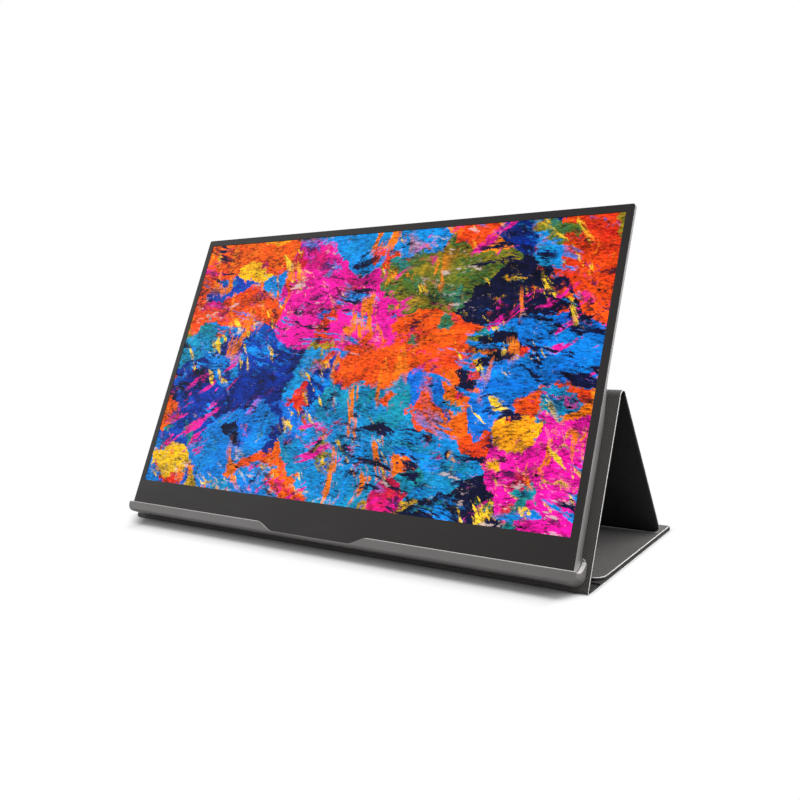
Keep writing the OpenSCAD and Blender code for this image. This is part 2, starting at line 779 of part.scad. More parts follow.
module board_slab(y0, y1, r0, r1, above)
    slab(skin_t - panel_t, -lining_t + above)
        plate_outline(cover_w - 2 * wrap_t, y0 + wrap_t, y1 - wrap_t,
            max(0.3, r0 - wrap_t), max(0.3, r1 - wrap_t));

module panel_lining(y0, y1, r0, r1) color(lining_grey)
    slab(-lining_t, 0) plate_outline(cover_w, y0, y1, r0, r1);

// Pockets or plates in a board's full thickness: centre heights, X positions and size
module inlays(y, xs, l, h, grow)
    for (x = xs) translate([x - l / 2 - grow, y - h / 2 - grow, skin_t - panel_t - (grow > 0 ? over : 0)])
        cube([l + 2 * grow, h + 2 * grow, board_t + (grow > 0 ? 2 * over : 0)]);

module rear_panel_skin() leaning()
    panel_skin(base_tangent, rear_panel_top, fold_edge_r, fold_edge_r);

module rear_panel_board() leaning()
    panel_board(base_tangent, rear_panel_top, fold_edge_r, fold_edge_r);

module rear_panel_lining() leaning()
    panel_lining(base_tangent, rear_panel_top, fold_edge_r, fold_edge_r);

module ridge_fold() color(leather_black) translate([0, fold_y + ridge_y, ridge_z])
    along_x(cover_w) ring_sector(ridge_fold_r - strap_t, ridge_fold_r, strut_lean, 90 + lean);

module strut_skin() along_strut() panel_skin(0, strut_h, fold_edge_r, strut_corner_r);

module strut_board() color(card_grey) along_strut() difference() {
    panel_board(0, strut_h, fold_edge_r, strut_corner_r);
    inlays(strut_magnet_y, magnet_xs, magnet_l, magnet_h, fit);
}

strut_magnet_y = strut_h - magnet_inset - magnet_h / 2;

module strut_lining() along_strut() panel_lining(0, strut_h, fold_edge_r, strut_corner_r);

module strut_magnets() color(metal_grey) along_strut()
    inlays(strut_magnet_y, magnet_xs, magnet_l, magnet_h, 0);

module base_fold() color(leather_black)
    translate([0, fold_y + base_tangent, base_fold_r]) along_x(cover_w)
        ring_sector(base_fold_r - strap_t, base_fold_r, 90 + lean, 270);

module spine_skin() lining_down() panel_skin(spine_y0, spine_y1, fold_edge_r, fold_edge_r);

module spine_board() lining_down() panel_board(spine_y0, spine_y1, fold_edge_r, fold_edge_r);

module spine_lining() lining_down() panel_lining(spine_y0, spine_y1, fold_edge_r, fold_edge_r);

module spine_fold() color(leather_black) translate([0, fold_y, 0])
    translate([-cover_w / 2, spine_y1, 0]) cube([cover_w, spine_fold_l, strap_t]);

module lower_flap_skin() lining_down()
    panel_skin(lower_y0, lower_y1, fold_edge_r, fold_edge_r);

module lower_flap_board() lining_down()
    panel_board(lower_y0, lower_y1, fold_edge_r, fold_edge_r);

module lower_flap_lining() lining_down()
    panel_lining(lower_y0, lower_y1, fold_edge_r, fold_edge_r);

module rear_fold() color(leather_black)
    translate([0, fold_y + lower_y1, stack_mid_z]) along_x(cover_w)
        ring_sector(stack_mid_z - strap_t, stack_mid_z, -90, 90);

module upper_flap_skin() lining_up()
    panel_skin(upper_y0, upper_y1, flap_corner_r, fold_edge_r);

module upper_flap_board() color(card_grey) lining_up() difference() {
    panel_board(upper_y0, upper_y1, flap_corner_r, fold_edge_r);
    inlays(foot_y, [0], plate_l, plate_h, fit);
    inlays(upper_y0 + magnet_inset + magnet_h / 2, magnet_xs, magnet_l, magnet_h, fit);
}

module upper_flap_lining() lining_up()
    panel_lining(upper_y0, upper_y1, flap_corner_r, fold_edge_r);

// Steel strip that the strut's magnets hold on to
module foot_plate() color(metal_grey) lining_up() inlays(foot_y, [0], plate_l, plate_h, 0);

module closing_magnets() color(metal_grey) lining_up()
    inlays(upper_y0 + magnet_inset + magnet_h / 2, magnet_xs, magnet_l, magnet_h, 0);

front_bezel();
bezel_tape();
display_film();
lcd_cell();
film_stack();
light_guide();
led_bar();
lcd_tray();
driver_board();
panel_ribbon();
main_board();
main_chips();
board_screws();
heat_pad();
insulating_sheet();
usb_c_ports();
mini_hdmi_port();
audio_jack();
port_strip();
key_board();
power_key();
menu_rocker();
speaker_left();
speaker_right();
back_shell();
mounting_pads();
tray_adhesive();
cradle_tray();
rear_panel_skin();
rear_panel_board();
rear_panel_lining();
ridge_fold();
strut_skin();
strut_board();
strut_lining();
strut_magnets();
base_fold();
spine_skin();
spine_board();
spine_lining();
spine_fold();
lower_flap_skin();
lower_flap_board();
lower_flap_lining();
rear_fold();
upper_flap_skin();
upper_flap_board();
upper_flap_lining();
foot_plate();
closing_magnets();
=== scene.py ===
"""Looks of a portable monitor that stands in its folding cover.

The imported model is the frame. Hard parts keep their CAD shape and get a finish;
the cover's leatherette and lining are made here, panel by panel and fold by fold.
Sizes are in metres and angles in degrees.
"""

from __future__ import annotations

import logging
import math
from dataclasses import dataclass, field
from enum import Enum
from typing import Any, Iterable, Mapping, Sequence

import bpy
from mathutils import Matrix, Vector

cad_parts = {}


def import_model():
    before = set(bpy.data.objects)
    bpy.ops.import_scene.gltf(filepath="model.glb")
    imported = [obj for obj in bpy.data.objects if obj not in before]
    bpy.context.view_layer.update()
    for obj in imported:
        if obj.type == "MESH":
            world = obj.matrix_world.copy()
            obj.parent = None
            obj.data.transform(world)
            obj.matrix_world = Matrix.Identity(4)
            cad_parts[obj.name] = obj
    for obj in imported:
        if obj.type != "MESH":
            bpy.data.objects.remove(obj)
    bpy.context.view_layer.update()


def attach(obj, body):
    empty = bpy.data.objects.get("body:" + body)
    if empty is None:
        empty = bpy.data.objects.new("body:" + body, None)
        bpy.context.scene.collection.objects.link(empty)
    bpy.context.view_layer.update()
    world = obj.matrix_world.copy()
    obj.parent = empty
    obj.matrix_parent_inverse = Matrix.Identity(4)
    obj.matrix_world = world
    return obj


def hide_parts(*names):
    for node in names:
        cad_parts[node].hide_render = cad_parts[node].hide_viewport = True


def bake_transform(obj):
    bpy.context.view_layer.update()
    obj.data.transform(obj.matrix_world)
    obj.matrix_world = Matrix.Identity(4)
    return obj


log = logging.getLogger("portable_monitor")

Point2 = tuple[float, float]
Point3 = tuple[float, float, float]
Colour = tuple[float, float, float]
Stops = Sequence[tuple[float, Colour]]

BLACK: Colour = (0.0, 0.0, 0.0)
WHITE: Colour = (1.0, 1.0, 1.0)
LEVEL: Point3 = (1.0, 1.0, 0.0)  # factors that drop the third coordinate
SHEET = 0.0005  # thickness of the leatherette, and of the lining
HEM = 0.00012  # soft edge of a sheet
LEAST_RADIUS = 0.00002  # keeps the points of a shrunk corner apart
CORNER_STEPS = 8  # segments of a round corner
CRISP_ANGLE = 35.0  # edges sharper than this stay crisp
SAME_PLACE = 1e-6  # points closer than this lie at one place
CLOTH_MAP = "Cloth"  # flat coordinates along the cover


class Body(str, Enum):
    """The rigid bodies that pieces ride on."""

    SCREEN = "screen_and_cradle"
    STRUT = "strut"
    SPINE = "spine"
    LOWER = "lower_flap"
    UPPER = "upper_flap"


class Layer(Enum):
    """The materials of the cover, as slots of one piece."""

    LEATHER = 0
    LINING = 1
    # the lining's pale raw edge, also a painted highlight of the rounded edge
    RIM_AND_HIGHLIGHT = 2


# ---------------- shader maths


@dataclass(eq=False)
class Wire:
    """A node socket that takes part in Python arithmetic."""

    graph: Graph
    socket: bpy.types.NodeSocket

    def _math(self, operation: str, first: Any, second: Any) -> Wire:
        """Adds a Math node, or a Vector Math node for vectors and colours.

        Args:
            operation: Blender's name of the operation.
            first: the left operand, a wire or a value.
            second: the right operand, a wire or a value.

        Returns:
            The wire of the result.
        """
        wide = any(isinstance(x, tuple)
                   or (isinstance(x, Wire) and x.socket.type in ("VECTOR", "RGBA"))
                   for x in (first, second))
        if not wide:
            return self.graph.node("ShaderNodeMath", {"operation": operation},
                                   {0: first, 1: second})
        values = [(x, x, x) if isinstance(x, (int, float)) else x for x in (first, second)]
        return self.graph.node("ShaderNodeVectorMath", {"operation": operation},
                               dict(enumerate(values)))

    def __add__(self, other: Any) -> Wire:
        """Sum."""
        return self._math("ADD", self, other)

    __radd__ = __add__

    def __sub__(self, other: Any) -> Wire:
        """Difference."""
        return self._math("SUBTRACT", self, other)

    def __rsub__(self, other: Any) -> Wire:
        """Difference, reflected."""
        return self._math("SUBTRACT", other, self)

    def __mul__(self, other: Any) -> Wire:
        """Product."""
        return self._math("MULTIPLY", self, other)

    __rmul__ = __mul__

    def __pow__(self, other: Any) -> Wire:
        """Power."""
        return self._math("POWER", self, other)

    def sine(self) -> Wire:
        """Sine of an angle in radians."""
        return self.graph.node("ShaderNodeMath", {"operation": "SINE"}, {0: self})

    def wrapped(self) -> Wire:
        """The part after the decimal point."""
        return self.graph.node("ShaderNodeMath", {"operation": "FRACT"}, {0: self})

    def swing(self, spread: float) -> Wire:
        """A noise centred on 0 and stretched to that spread."""
        return (self - 0.5) * spread

    def above(self, edge: float, soft: float) -> Wire:
        """A soft step: 0 below edge and 1 above it.

        Args:
            edge: the value at the middle of the step.
            soft: the width over which the step rises.

        Returns:
            The wire of the step.
        """
        return self.graph.node(
            "ShaderNodeMapRange", {"interpolation_type": "SMOOTHSTEP"},
            {"Value": self, "From Min": edge - soft / 2, "From Max": edge + soft / 2})


class Graph:
    """Builds the nodes of one material or world."""

    def __init__(self, owner: bpy.types.Material | bpy.types.World, output: str) -> None:
        """Clears the owner's nodes and adds its output.

        Args:
            owner: the material or world that the nodes go into.
            output: type of the output node.
        """
        owner.use_nodes = True
        self.owner = owner
        self.tree = owner.node_tree
        self.tree.nodes.clear()
        self.output = self.tree.nodes.new(output)

    @classmethod
    def of_material(cls, name: str) -> Graph:
        """An empty graph in a new material."""
        return cls(bpy.data.materials.new(name), "ShaderNodeOutputMaterial")

    def node(self, kind: str, settings: dict[str, Any] | None = None,
             inputs: dict[Any, Any] | None = None, out: Any = 0) -> Wire:
        """Adds a node, sets it up and connects it.

        Args:
            kind: the node's type.
            settings: attributes of the node, set first; "stops" fills a colour ramp.
            inputs: values or wires by socket name or number.
            out: name or number of the output to return.

        Returns:
            The wire of that output.
        """
        made = self.tree.nodes.new(kind)
        for key, value in (settings or {}).items():
            if key == "stops":
                self._fill_ramp(made.color_ramp, value)
            else:
                setattr(made, key, value)
        for key, value in (inputs or {}).items():
            target = made.inputs[key]
            if isinstance(value, Wire):
                self.tree.links.new(value.socket, target)
            elif target.type == "RGBA" and isinstance(value, tuple) and len(value) == 3:
                target.default_value = (*value, 1.0)
            else:
                target.default_value = value
        return Wire(self, made.outputs[out])

    @staticmethod
    def _fill_ramp(ramp: bpy.types.ColorRamp, stops: Stops) -> None:
        """Gives a ramp its stops.

        Args:
            ramp: the ramp.
            stops: a place and a colour each, in order.
        """
        while len(ramp.elements) < len(stops):
            ramp.elements.new(0.5)
        for element, (place, colour) in zip(ramp.elements, stops):
            element.position = place
            element.color = (*colour, 1.0)

    def place(self) -> Wire:
        """Coordinates in the object's own space."""
        return self.node("ShaderNodeTexCoord", out="Object")

    def cloth_place(self) -> Wire:
        """Coordinates laid out flat along the cover."""
        return self.node("ShaderNodeUVMap", {"uv_map": CLOTH_MAP}) * LEVEL

    def turned(self, at: Wire, turn: Point3, shift: Point3 = (0.0, 0.0, 0.0)) -> Wire:
        """Turns coordinates and then shifts them.

        Args:
            at: the coordinates.
            turn: angles about each axis.
            shift: how far they move along each axis.

        Returns:
            The wire of the coordinates.
        """
        return self.node("ShaderNodeMapping", {"vector_type": "POINT"},
                         {"Vector": at, "Location": shift,
                          "Rotation": tuple(math.radians(a) for a in turn)})

    def part(self, vector: Wire, axis: str) -> Wire:
        """One part of a vector or colour, by the name of its axis."""
        return self.node("ShaderNodeSeparateXYZ", None, {0: vector}, axis)

    def facing(self) -> Wire:
        """The surface's own normal."""
        return self.node("ShaderNodeNewGeometry", out="Normal")

    def highest(self, *values: Wire | float) -> Wire:
        """The highest of some numbers.

        Args:
            values: wires or values, of which the first is a wire.

        Returns:
            The wire of the highest.
        """
        top = values[0]
        for value in values[1:]:
            top = self.node("ShaderNodeMath", {"operation": "MAXIMUM"}, {0: top, 1: value})
        return top

    def noise(self, at: Wire, scale: float, detail: float = 3.0, rough: float = 0.5,
              bend: float = 0.0, out: str = "Fac") -> Wire:
        """Perlin noise of a given scale.

        Args:
            at: the coordinates.
            scale: features per metre.
            detail: octaves.
            rough: share that each octave keeps.
            bend: how far the noise distorts itself.
            out: "Fac" or "Color".

        Returns:
            The wire of the noise.
        """
        return self.node("ShaderNodeTexNoise", None,
                         {"Vector": at, "Scale": scale, "Detail": detail, "Roughness": rough,
                          "Distortion": bend}, out)

    def cells(self, at: Wire, scale: float, feature: str = "F1", out: str = "Distance",
              chance: float = 1.0) -> Wire:
        """Voronoi cells.

        Args:
            at: the coordinates.
            scale: cells per metre.
            feature: what is measured in each cell.
            out: name of the output.
            chance: how irregular the cells are.

        Returns:
            The wire of that output.
        """
        return self.node("ShaderNodeTexVoronoi", {"feature": feature},
                         {"Vector": at, "Scale": scale, "Randomness": chance}, out)

    def ramp(self, value: Wire, stops: Stops) -> Wire:
        """Colours along a value."""
        return self.node("ShaderNodeValToRGB", {"stops": stops}, {0: value}, "Color")

    def mix(self, share: Wire, first: Any, second: Any) -> Wire:
        """Blends two colours, wires or values, by how much of the second."""
        return self.node("ShaderNodeMix", {"data_type": "RGBA"},
                         {0: share, 6: first, 7: second}, 2)

    def blend(self, share: Wire, first: Wire, second: Wire) -> Wire:
        """Blends two shaders by how much of the second."""
        return self.node("ShaderNodeMixShader", None, {0: share, 1: first, 2: second})

    def bump(self, height: Wire, depth: float, over: Wire | None = None) -> Wire:
        """Normals of a height map.

        Args:
            height: the height, from 0 to 1.
            depth: metres from the lowest to the highest.
            over: normals that the relief lies on, if not the mesh's own.

        Returns:
            The wire of the normals.
        """
        base = {"Normal": over} if over else {}
        return self.node("ShaderNodeBump", None,
                         {"Height": height, "Distance": depth, "Strength": 1.0, **base})

    def soft_edges(self, radius: float) -> tuple[Wire, Wire]:
        """Rounds the look of edges.

        Args:
            radius: of the rounding.

        Returns:
            The rounded normals, and a mask that is 1 along the edges.
        """
        rounded = self.node("ShaderNodeBevel", {"samples": 6}, {"Radius": radius})
        same = self.node("ShaderNodeVectorMath", {"operation": "DOT_PRODUCT"},
                         {0: rounded, 1: self.facing()}, "Value")
        return rounded, (1 - same).above(0.08, 0.12)

    def surface(self, **sockets: Any) -> bpy.types.Material:
        """Ends the material in a principled shader.

        Args:
            sockets: values or wires, with spaces in the names written as underscores.

        Returns:
            The finished material.
        """
        return self.finish(self.node("ShaderNodeBsdfPrincipled", None,
                                     {k.replace("_", " "): v for k, v in sockets.items()}))

    def finish(self, shader: Wire) -> Any:
        """Ends the graph in a shader and returns its material or world."""
        self.tree.links.new(shader.socket, self.output.inputs["Surface"])
        return self.owner


# ---------------- finishes


@dataclass(frozen=True)
class Finish:
    """A material that a piece is dressed in."""

    name: str
    colour: Colour
    rough: float = 0.5

    def build(self) -> bpy.types.Material:
        """Makes the material's nodes and returns the material."""
        raise NotImplementedError

    def shade(self, factor: float) -> Colour:
        """The colour made darker or lighter, and never above white."""
        return tuple(min(1.0, c * factor) for c in self.colour)


@dataclass(frozen=True)
class Leatherette(Finish):
    """Pressed leather grain: small raised pebbles with fine creases between them."""

    pebble: float = 0.0011
    wander: float = 0.0009
    relief: float = 0.00010
    crease_shade: float = 0.55
    swell_shade: float = 1.7
    scuff_shade: float = 2.6

    def build(self) -> bpy.types.Material:
        """Makes the pebbled grain, its sheen and slight scuffs.

        Returns:
            The material.
        """
        g = Graph.of_material(self.name)
        at = g.cloth_place()
        warped = at + g.noise(at, 260, 2, out="Color").swing(self.wander)
        crease = g.cells(warped, 1 / self.pebble, "DISTANCE_TO_EDGE").above(0.09, 0.18)
        swell = g.noise(at, 34, 4, 0.6)
        scuff = g.noise(at * (1.0, 0.3, 1.0), 90, 5, 0.7).above(0.68, 0.16)
        tone = g.mix(crease, self.shade(self.crease_shade), self.colour)
        tone = g.mix(swell.above(0.55, 0.5) * 0.35, tone, self.shade(self.swell_shade))
        tone = g.mix(scuff * 0.25, tone, self.shade(self.scuff_shade))
        rough = self.rough + 0.14 * (1 - crease) - 0.07 * scuff + swell.swing(0.06)
        height = crease * 0.7 + 0.3 * g.noise(at, 3200, 2)
        return g.surface(Base_Color=tone, Roughness=rough, Specular_IOR_Level=0.18,
                         Normal=g.bump(height, self.relief))


@dataclass(frozen=True)
class TwillLining(Finish):
    """Woven lining with fine ribs that run slantwise over the panels."""

    pitch: float = 0.00122
    wander: float = 0.0012
    relief: float = 0.00016
    valley_shade: float = 0.52
    rib_shade: float = 1.45
    thread_shade: float = 1.9

    def build(self) -> bpy.types.Material:
        """Makes the slanting ribs, the threads between them and a soft sheen.

        Returns:
            The material.
        """
        g = Graph.of_material(self.name)
        at = g.cloth_place()
        slant = (g.part(at, "X") + g.part(at, "Y")) * math.sqrt(0.5)
        slant = slant + g.noise(at, 45, 2) * self.wander
        rib = ((slant * (2 * math.pi / self.pitch)).sine() * 0.5 + 0.5) ** 1.3
        thread = g.noise(at * (1.0, 2.2, 1.0), 1300, 4, 0.65)
        cloudy = g.noise(at, 26, 3, 0.6)
        tone = g.mix(rib, self.shade(self.valley_shade), self.shade(self.rib_shade))
        tone = g.mix(thread.above(0.60, 0.2) * 0.35, tone, self.shade(self.thread_shade))
        tone = g.mix(cloudy.above(0.5, 0.6) * 0.25, tone, self.shade(0.7))
        return g.surface(Base_Color=tone, Roughness=self.rough + thread.swing(0.16),
                         Sheen_Weight=0.2, Sheen_Roughness=0.45, Specular_IOR_Level=0.2,
                         Normal=g.bump(rib * 0.8 + thread * 0.2, self.relief))


@dataclass(frozen=True)
class PaleRimAndHighlight(Finish):
    """Pale raw edge of the lining, where its base cloth shows, and a painted highlight of the
    rounded edge.
    """

    relief: float = 0.00008

    def build(self) -> bpy.types.Material:
        """Makes the fibrous edge and its soiling.

        Returns:
            The material.
        """
        g = Graph.of_material(self.name)
        at = g.place()
        fibre = g.noise(at * (1.0, 3.0, 3.0), 900, 4, 0.7)
        soil = g.noise(at, 55, 3)
        tone = g.mix(fibre.above(0.45, 0.4), self.shade(0.72), self.colour)
        tone = g.mix(soil.above(0.62, 0.2) * 0.4, tone, self.shade(0.45))
        return g.surface(Base_Color=tone, Roughness=self.rough + 0.1 * fibre,
                         Normal=g.bump(fibre, self.relief))


@dataclass(frozen=True)
class MouldedPlastic(Finish):
    """Spark-eroded plastic: an even, very fine grain that rubbing smooths at edges; painted
    highlights on edges and tops.
    """

    grain: float = 0.00035
    relief: float = 0.000022
    mottle: float = 0.10
    gloss: float = 0.4
    edge: float = 0.0005
    edge_rub_and_highlight: float = 0.35
    painted_top_highlight: float = 0.0
    grain_shade: float = 1.6
    rubbed_and_lit_edge_shade: float = 2.4
    painted_top_highlight_shade: float = 3.4

    def build(self) -> bpy.types.Material:
        """Makes the grain, a faint mottle, edges lighter from rubbing and painted highlight,
        and a painted top highlight.

        Returns:
            The material.
        """
        g = Graph.of_material(self.name)
        at = g.place()
        grain = g.noise(at, 1 / self.grain, 3, 0.6)
        cloud = g.noise(at, 22, 3, 0.55)
        handled = g.noise(at * (0.5, 1.0, 1.0), 60, 4, 0.6).above(0.62, 0.2)
        tone = g.mix(cloud.above(0.5, 0.7), self.shade(1 - self.mottle),
                     self.shade(1 + self.mottle))
        tone = g.mix(grain.above(0.6, 0.3) * 0.18, tone, self.shade(self.grain_shade))
        rounded, edge = g.soft_edges(self.edge)
        # rubbed edges: lighter partly from rubbing and partly as painted highlight
        rubbed_and_lit_edge = edge * g.noise(at * (0.3, 1.0, 1.0), 240, 3, 0.6).above(0.42, 0.3)
        tone = g.mix(rubbed_and_lit_edge * self.edge_rub_and_highlight, tone, self.shade(self.rubbed_and_lit_edge_shade))
        # painted highlight on faces that look up, where the top light falls
        if self.painted_top_highlight:
            lit_from_above = g.part(g.facing(), "Z").above(0.66, 0.24)
            tone = g.mix(lit_from_above * self.painted_top_highlight, tone, self.shade(self.painted_top_highlight_shade))
        rough = self.rough + grain.swing(0.12) - 0.06 * handled - 0.08 * rubbed_and_lit_edge
        return g.surface(Base_Color=tone, Roughness=rough, Specular_IOR_Level=self.gloss,
                         Normal=g.bump(grain, self.relief, rounded))


@dataclass(frozen=True)
class BlastedAluminium(Finish):
    """Bead-blasted and anodised aluminium."""

    edge: float = 0.0004
    relief: float = 0.000012

    def build(self) -> bpy.types.Material:
        """Makes the blasted grain, slow changes of gloss and painted highlights along the
        edges.

        Returns:
            The material.
        """
        g = Graph.of_material(self.name)
        at = g.place()
        grain = g.noise(at, 5200, 2, 0.6)
        cloud = g.noise(at * (0.4, 1.0, 1.0), 30, 3, 0.5)
        tone = g.mix(cloud.above(0.5, 0.8), self.shade(0.92), self.colour)
        tone = g.mix(grain.above(0.5, 0.5) * 0.25, tone, self.shade(0.78))
        rounded, edge = g.soft_edges(self.edge)
        # painted highlight along the edges
        tone = g.mix(edge * 0.5, tone, self.shade(1.5))
        return g.surface(Base_Color=tone, Metallic=1.0,
                         Roughness=self.rough + grain.swing(0.10) + cloud.swing(0.05),
                         Normal=g.bump(grain, self.relief, rounded))


@dataclass(frozen=True)
class SheetMetal(Finish):
    """Plated sheet metal with faint rolling lines."""

    relief: float = 0.00001

    def build(self) -> bpy.types.Material:
        """Makes the rolling lines and a few dull patches.

        Returns:
            The material.
        """
        g = Graph.of_material(self.name)
        at = g.place()
        lines = g.noise(at * (0.06, 1.0, 1.0), 2200, 3, 0.6)
        patch = g.noise(at, 120, 3, 0.6).above(0.58, 0.3)
        tone = g.mix(patch * 0.5, self.colour, self.shade(0.7))
        return g.surface(Base_Color=tone, Metallic=1.0,
                         Roughness=self.rough + lines.swing(0.14) + 0.1 * patch,
                         Normal=g.bump(lines, self.relief))


@dataclass(frozen=True)
class CircuitLacquer(Finish):
    """Lacquered circuit board with copper runs under the green."""

    pad_colour: Colour = (0.55, 0.52, 0.42)
    relief: float = 0.00003

    def build(self) -> bpy.types.Material:
        """Makes the copper runs, the bare pads and the lacquer.

        Returns:
            The material.
        """
        g = Graph.of_material(self.name)
        at = g.place()
        run = g.cells(at, 420, "DISTANCE_TO_EDGE", chance=0.55).above(0.12, 0.06)
        pad = 1 - g.cells(at, 300, chance=0.7).above(0.16, 0.05)
        tone = g.mix(run, self.shade(1.9), self.colour)
        tone = g.mix(pad, tone, self.pad_colour)
        return g.surface(Base_Color=tone, Roughness=self.rough + 0.15 * run,
                         Coat_Weight=0.4, Coat_Roughness=0.2,
                         Normal=g.bump(1 - run + pad, self.relief))


@dataclass(frozen=True)
class PlainSheet(Finish):
    """Films, tapes, foams and boards: one tone with fine specks."""

    speck: float = 0.0006
    relief: float = 0.00003

    def build(self) -> bpy.types.Material:
        """Makes the speckled sheet.

        Returns:
            The material.
        """
        g = Graph.of_material(self.name)
        at = g.place()
        speck = g.noise(at, 1 / self.speck, 3, 0.6)
        cloud = g.noise(at, 40, 2)
        tone = g.mix(speck.above(0.5, 0.5), self.shade(0.8), self.colour)
        tone = g.mix(cloud.above(0.5, 0.6) * 0.2, tone, self.shade(0.7))
        return g.surface(Base_Color=tone, Roughness=self.rough + speck.swing(0.1),
                         Normal=g.bump(speck, self.relief))


@dataclass(frozen=True)
class Stroke:
    """One kind of dry brush stroke over the invented picture."""

    squeeze: Point3
    turn: float
    scale: float
    edge: float
    colour: Colour
    offset: float


PAINTS: Stops = (
    (0.0, (0.003, 0.004, 0.022)), (0.08, (0.003, 0.006, 0.045)),
    (0.13, (0.001, 0.030, 0.34)), (0.20, (0.001, 0.14, 0.68)),
    (0.34, (0.004, 0.27, 0.72)), (0.42, (0.006, 0.26, 0.30)),
    (0.48, (0.055, 0.14, 0.016)), (0.53, (0.46, 0.27, 0.010)),
    (0.57, (0.98, 0.58, 0.010)), (0.68, (0.98, 0.24, 0.004)),
    (0.76, (0.95, 0.085, 0.003)), (0.85, (0.62, 0.008, 0.008)),
    (0.90, (0.50, 0.004, 0.08)), (0.94, (0.88, 0.004, 0.33)),
    (1.0, (0.88, 0.006, 0.38)))

STROKES = (Stroke((0.13, 1.0, 1.0), 14, 150, 0.55, (0.002, 0.24, 0.78), 0.13),
           Stroke((1.0, 0.16, 1.0), -12, 130, 0.56, (0.97, 0.20, 0.006), 0.41),
           Stroke((0.20, 1.0, 1.0), -38, 120, 0.59, (0.88, 0.01, 0.34), 0.77),
           Stroke((0.22, 1.0, 1.0), 48, 140, 0.60, (0.97, 0.62, 0.03), 0.29),
           Stroke((0.18, 1.0, 1.0), 4, 170, 0.56, (0.003, 0.005, 0.04), 0.91))


@dataclass(frozen=True)
class LitPicture(Finish):
    """The lit display, with an invented abstract of broad patches of thick paint."""

    lean: float = 63.0
    power: float = 0.95
    patch_scale: float = 12.0
    small_scale: float = 31.0
    sway: float = 0.085
    fray: float = 0.020
    rift: Colour = (0.002, 0.003, 0.018)
    chalk: Colour = (0.82, 0.62, 0.60)
    fleck: Colour = (0.92, 0.80, 0.66)

    def build(self) -> bpy.types.Material:
        """Paints patches, smaller patches and dragged strokes, then the paint's relief.

        Returns:
            The material.
        """
        g = Graph.of_material(self.name)
        flat = g.turned(g.place(), (-self.lean, 0.0, 0.0)) * LEVEL
        sway = g.noise(flat, 11, 2, 0.5, out="Color").swing(self.sway)
        fray = g.noise(flat, 95, 6, 0.72, out="Color").swing(self.fray)
        tone = self._patches(g, flat + sway + fray, self.patch_scale, (0.43, 0.18, 0.0))
        small = self._patches(g, flat + sway * 0.7 + fray * 1.4, self.small_scale,
                              (0.11, 0.87, 0.0))
        cover = g.noise(flat + fray + (0.35, 0.62, 0.0), 24, 2).above(0.565, 0.02)
        tone = self._strokes(g, flat + sway * 0.5 + fray * 0.3, g.mix(cover, tone, small))
        tone = self._relief(g, flat + sway * 0.2, tone)
        return g.surface(Base_Color=BLACK, Roughness=0.4, Specular_IOR_Level=0.04,
                         Emission_Color=tone, Emission_Strength=self.power)

    def _patches(self, g: Graph, at: Wire, scale: float, offset: Point3) -> Wire:
        """Lays patches that each have one paint, and lets a second paint shine through.

        Args:
            g: the material's graph.
            at: warped coordinates on the picture.
            scale: patches per metre.
            offset: shifts the layout.

        Returns:
            The wire of the colour.
        """
        pick = g.part(g.cells((at + offset) * (0.8, 1.2, 1.0), scale, out="Color"), "X")
        pick = pick + g.noise(at * (0.5, 1.0, 1.0), 26, 7, 0.74).swing(0.34)
        thin = g.noise(at * (0.5, 1.0, 1.0) + offset, 70, 5, 0.7)
        under = g.ramp((pick * 7.31 + thin * 0.5).wrapped(), PAINTS)
        return g.mix(thin.above(0.60, 0.05) * 0.85, g.ramp(pick, PAINTS), under)

    def _strokes(self, g: Graph, at: Wire, tone: Wire) -> Wire:
        """Drags dry brush strokes of other colours over the patches.

        Args:
            g: the material's graph.
            at: coordinates on the picture.
            tone: the colour below.

        Returns:
            The wire of the colour.
        """
        for s in STROKES:
            turned = g.turned(at, (0.0, 0.0, s.turn), (s.offset, s.offset * 0.7, 0.0))
            zone = g.noise(at + (s.offset, -s.offset, 0.0), 13, 2).above(0.56, 0.06)
            stroke = g.noise(turned * s.squeeze, s.scale, 5, 0.66).above(s.edge, 0.04)
            tone = g.mix(stroke * zone, tone, s.colour)
        return tone

    def _relief(self, g: Graph, at: Wire, tone: Wire) -> Wire:
        """Adds the light and dark of thick paint, dark rifts and bright flecks.

        Args:
            g: the material's graph.
            at: coordinates on the picture.
            tone: the colour below.

        Returns:
            The wire of the colour.
        """
        ridges = g.noise(at * (0.36, 1.0, 1.0), 760, 5, 0.78, 0.3)
        body = g.noise(at * (0.6, 1.0, 1.0), 55, 4, 0.7)
        tone = tone * (5.2 * ridges + 3.0 * body - 3.1)
        rifts = (g.noise(at * (0.5, 1.0, 1.0), 190, 6, 0.76).above(0.57, 0.05)
                 * g.noise(at + (0.2, 0.6, 0.0), 17, 2).above(0.54, 0.08))
        tone = g.mix(rifts * 0.9, tone, self.rift)
        flecks = g.noise(at * (0.5, 1.0, 1.0), 640, 5, 0.78).above(0.675, 0.03)
        chalk = (g.noise(at * (0.4, 1.0, 1.0), 130, 6, 0.75).above(0.60, 0.05)
                 * g.noise(at + (0.7, 0.1, 0.0), 15, 2).above(0.58, 0.06))
        tone = g.mix(chalk * 0.8, tone, self.chalk)
        return g.mix(flecks * 0.75, tone, self.fleck)


LEATHER = Leatherette("black_leatherette", (0.021, 0.0195, 0.0195), 0.55)
LINING = TwillLining("twill_lining", (0.061, 0.0552, 0.0525), 0.65)
# pale raw edge of the lining, also a painted highlight of the cover's rounded edges
PALE_RIM_AND_HIGHLIGHT = PaleRimAndHighlight("pale_rim_and_highlight", (0.74, 0.72, 0.69), 0.8)
